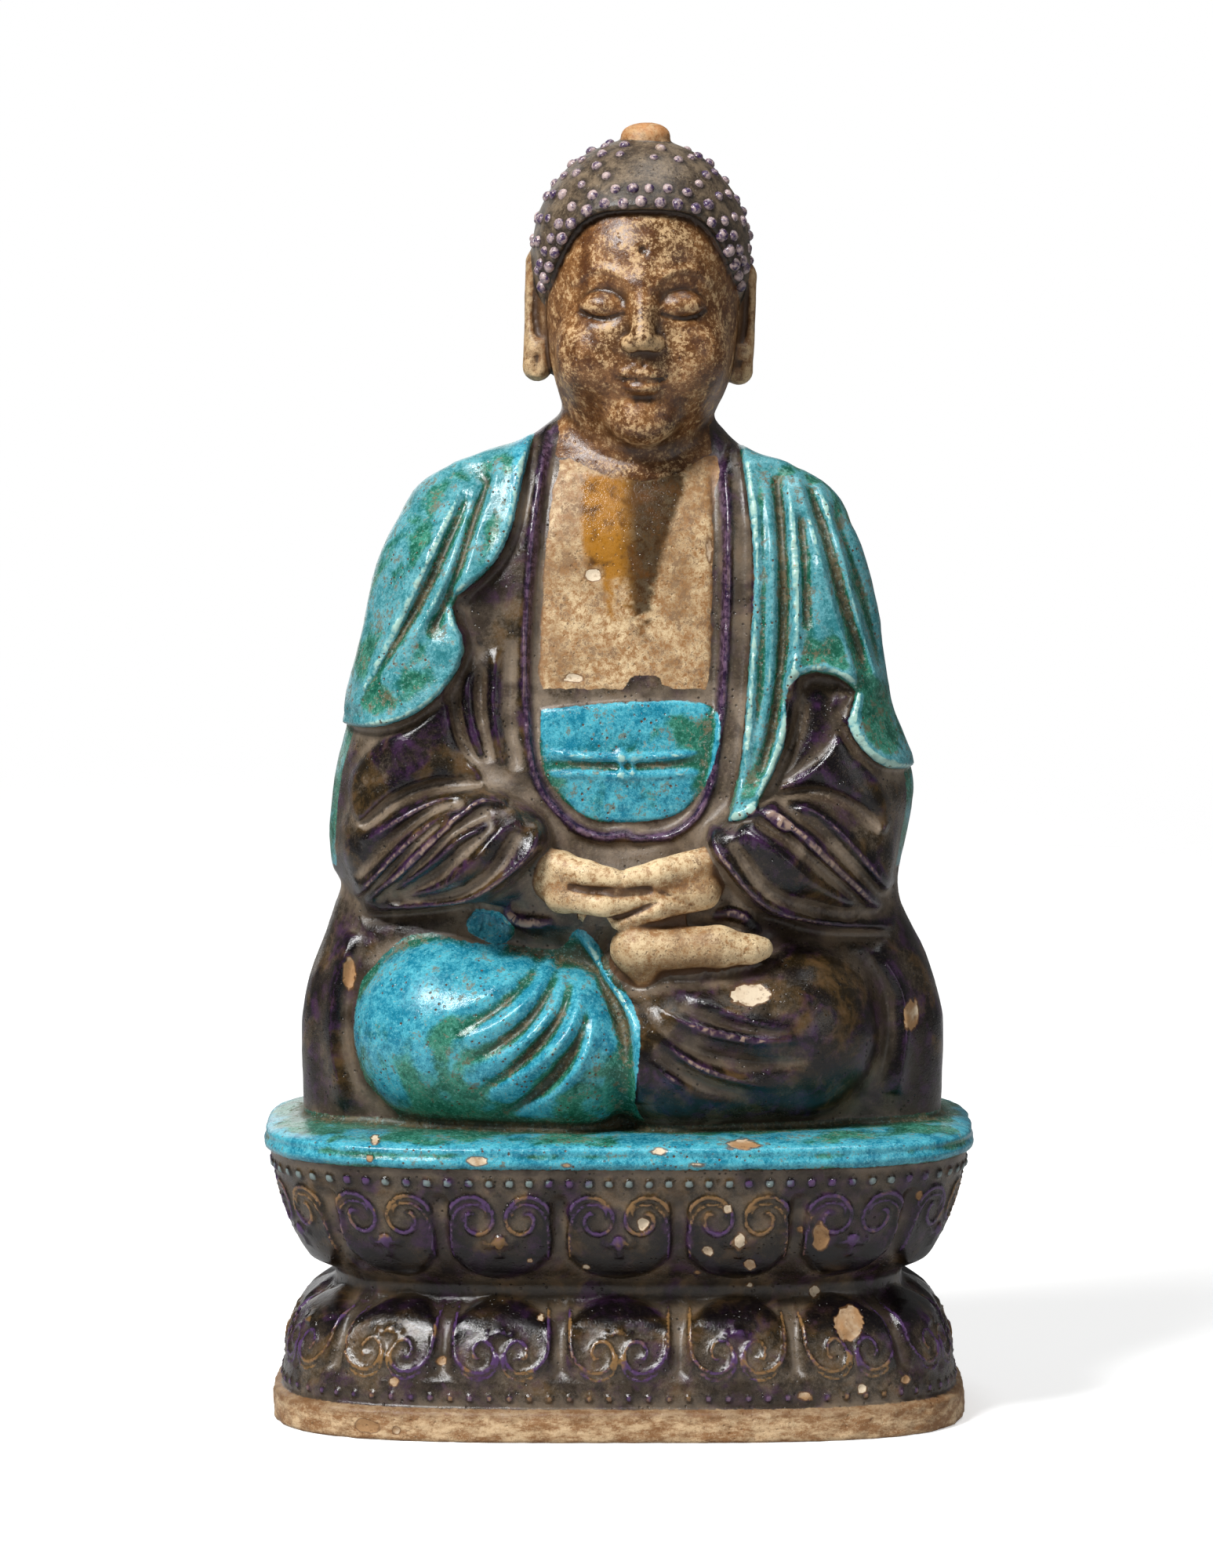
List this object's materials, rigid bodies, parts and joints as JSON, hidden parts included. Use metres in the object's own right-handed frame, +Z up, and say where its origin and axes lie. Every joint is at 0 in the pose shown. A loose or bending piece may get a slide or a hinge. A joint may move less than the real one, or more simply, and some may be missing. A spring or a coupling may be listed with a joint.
{
  "type": "seated buddha figure",
  "caption": "Glazed pottery Buddha seated cross-legged in draped robes, hands folded in the lap, moulded in one with a double lotus base on a low plinth.",
  "frame": {"origin": "middle of the flat underside", "axes": "+Z up through the head, the figure faces -Y, +X is to the viewer's right"},
  "size_m": [0.2758, 0.1736, 0.5005],
  "materials": {
    "glazed_pottery": "glossy turquoise and aubergine lead glazes, worn, with bare biscuit on flesh and plinth"
  },
  "bodies": {
    "root": {"seated_buddha": "glazed_pottery"}
  },
  "joints": []
}
